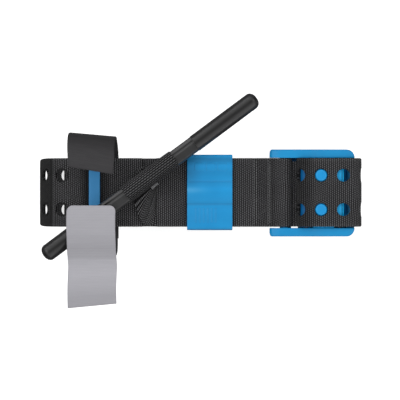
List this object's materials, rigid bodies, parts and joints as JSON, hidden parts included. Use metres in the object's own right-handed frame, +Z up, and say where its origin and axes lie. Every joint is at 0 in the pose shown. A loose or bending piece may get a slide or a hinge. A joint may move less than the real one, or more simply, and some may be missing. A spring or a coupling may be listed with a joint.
{
  "type": "windlass tourniquet",
  "caption": "Windlass tourniquet closed into a loop: perforated black strap, blue prong buckle and cover, black turning rod, folded keeper flaps and a pale writing tab.",
  "frame": {"origin": "middle of the closed loop on the plane it rests on, under the strap's centreline", "axes": "+X along the strap from the looped end to the buckle, +Y across the strap, +Z up from the resting tail to the windlass"},
  "size_m": [0.1789, 0.1194, 0.0671],
  "materials": {
    "strap_webbing": "black woven webbing",
    "base_webbing": "black woven webbing",
    "band_webbing": "black woven webbing",
    "keeper_webbing": "dark grey hook-and-loop webbing",
    "tab_fabric": "light grey writable tape",
    "plate_plastic": "black sheet plastic",
    "cover_plastic": "bright blue moulded, satin",
    "buckle_plastic": "bright blue moulded, satin",
    "rod_plastic": "black, satin",
    "pin_steel": "plain",
    "spring_steel": "plain"
  },
  "bodies": {
    "base": {"strap_loop": "strap_webbing", "base_web_left": "base_webbing", "base_web_right": "base_webbing", "windlass_band": "band_webbing", "base_plate": "plate_plastic", "cover_top": "cover_plastic", "cover_bottom": "cover_plastic", "windlass_clip": "cover_plastic", "keeper_band": "keeper_webbing", "buckle_frame": "buckle_plastic", "hinge_pin": "pin_steel", "roller_pin": "pin_steel"},
    "windlass": {"windlass_rod": "rod_plastic", "band_wrap": "band_webbing"},
    "flap_upper": {"keeper_flap_upper": "keeper_webbing"},
    "flap_lower": {"keeper_flap_lower": "keeper_webbing", "time_tab": "tab_fabric"},
    "prong_lever": {"prong_plate": "buckle_plastic", "torsion_spring_left": "spring_steel", "torsion_spring_right": "spring_steel"},
    "roller": {"strap_roller": "buckle_plastic"}
  },
  "joints": [
    {"name": "windlass_turn", "type": "hinge", "parent": "base", "child": "windlass", "pos_m": [-0.0282, 0.009, 0.0588], "axis": [0, 0, 1], "range_deg": [-1116.65, 1043.35]},
    {"name": "flap_upper_open", "type": "hinge", "parent": "base", "child": "flap_upper", "pos_m": [-0.0597, 0.0205, 0.0424], "axis": [-1, 0, 0], "range_deg": [0, 110]},
    {"name": "flap_lower_open", "type": "hinge", "parent": "base", "child": "flap_lower", "pos_m": [-0.0597, -0.0256, 0.0424], "axis": [1, 0, 0], "range_deg": [0, 100]},
    {"name": "prong_retract", "type": "hinge", "parent": "base", "child": "prong_lever", "pos_m": [0.0773, -0.0003, 0.0506], "axis": [0, -1, 0], "range_deg": [0, 13], "stiffness_Nm_per_rad": 0.02},
    {"name": "roller_spin", "type": "hinge", "parent": "base", "child": "roller", "pos_m": [0.0586, -0.0003, 0.04965], "axis": [0, 1, 0], "continuous": true}
  ]
}
